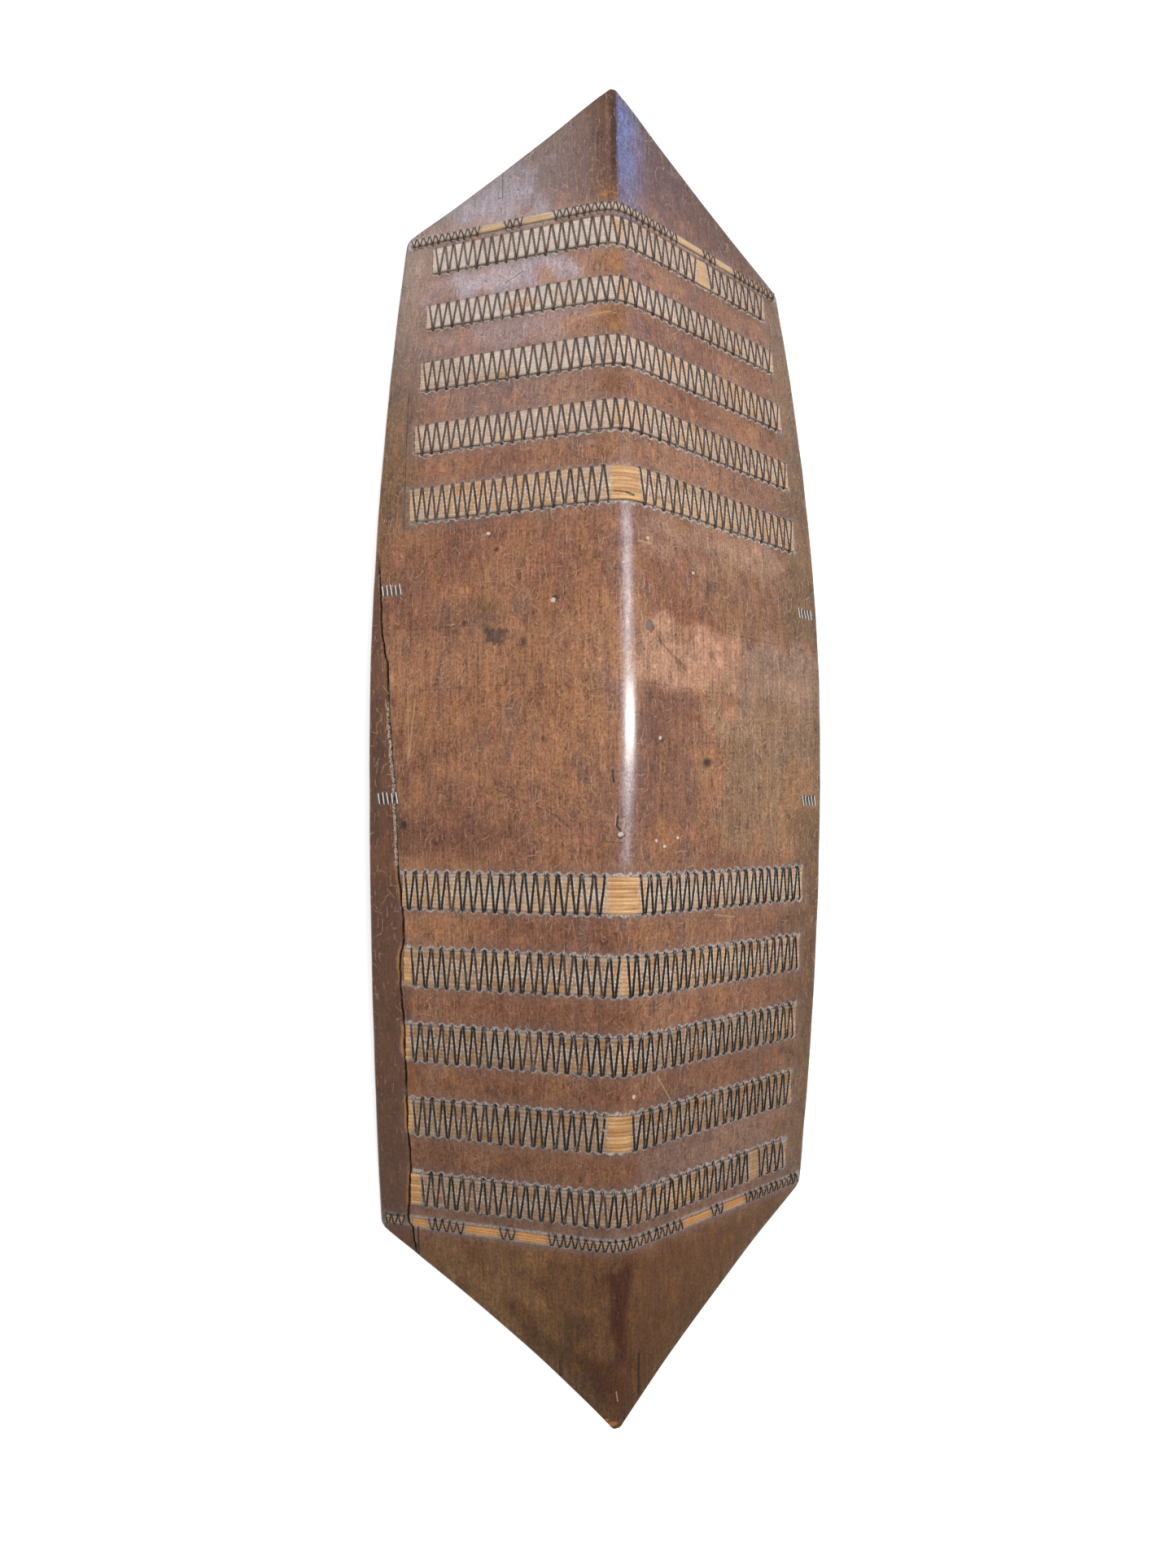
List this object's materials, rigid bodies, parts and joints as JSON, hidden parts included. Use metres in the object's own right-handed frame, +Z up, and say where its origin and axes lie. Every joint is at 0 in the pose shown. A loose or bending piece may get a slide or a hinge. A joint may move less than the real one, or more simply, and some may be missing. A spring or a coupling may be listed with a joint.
{
  "type": "ridged wooden shield",
  "caption": "Long six-sided wooden hand shield, folded along a lengthwise ridge, laced across with flat rattan strips, with a grip carved on its back.",
  "frame": {"origin": "on the ground, under the middle of the shield's bounding box", "axes": "+Z up and out of the shield's front, which lies face up, +Y along its length towards the end that is up when it is carried, +X to the right as seen from the front"},
  "size_m": [0.429, 1.195, 0.1299],
  "materials": {
    "shield_wood": "reddish brown stained light wood, hand worn to a soft sheen",
    "rattan_strip": "split rattan, tan, matt and dusty, with fine lengthwise grooves",
    "dark_rattan_lacing": "narrow split rattan, dyed brown black, slightly glossy",
    "grey_lashing": "narrow split rattan, undyed, grey with dust"
  },
  "bodies": {
    "root": {"board": "shield_wood", "lacing_10_left": "dark_rattan_lacing", "lacing_10_right": "dark_rattan_lacing", "lacing_1_left": "dark_rattan_lacing", "lacing_1_right": "dark_rattan_lacing", "lacing_2": "dark_rattan_lacing", "lacing_3": "dark_rattan_lacing", "lacing_4": "dark_rattan_lacing", "lacing_5_left": "dark_rattan_lacing", "lacing_5_right": "dark_rattan_lacing", "lacing_6_left": "dark_rattan_lacing", "lacing_6_right": "dark_rattan_lacing", "lacing_7_left": "dark_rattan_lacing", "lacing_7_right": "dark_rattan_lacing", "lacing_8": "dark_rattan_lacing", "lacing_9_left": "dark_rattan_lacing", "lacing_9_right": "dark_rattan_lacing", "narrow_strip_lower_left": "rattan_strip", "narrow_strip_lower_right": "rattan_strip", "narrow_strip_upper": "rattan_strip", "side_lashing_lower_left": "grey_lashing", "side_lashing_lower_right": "grey_lashing", "side_lashing_upper_left": "grey_lashing", "side_lashing_upper_right": "grey_lashing", "stitches_lower_1": "dark_rattan_lacing", "stitches_lower_2": "dark_rattan_lacing", "stitches_lower_3": "dark_rattan_lacing", "stitches_lower_4": "dark_rattan_lacing", "stitches_lower_5": "dark_rattan_lacing", "stitches_lower_6": "dark_rattan_lacing", "stitches_upper_1": "dark_rattan_lacing", "stitches_upper_2": "dark_rattan_lacing", "stitches_upper_3": "dark_rattan_lacing", "stitches_upper_4": "dark_rattan_lacing", "stitches_upper_5": "dark_rattan_lacing", "strip_1": "rattan_strip", "strip_10": "rattan_strip", "strip_2": "rattan_strip", "strip_3": "rattan_strip", "strip_4": "rattan_strip", "strip_5": "rattan_strip", "strip_6": "rattan_strip", "strip_7": "rattan_strip", "strip_8": "rattan_strip", "strip_9": "rattan_strip"}
  },
  "joints": []
}
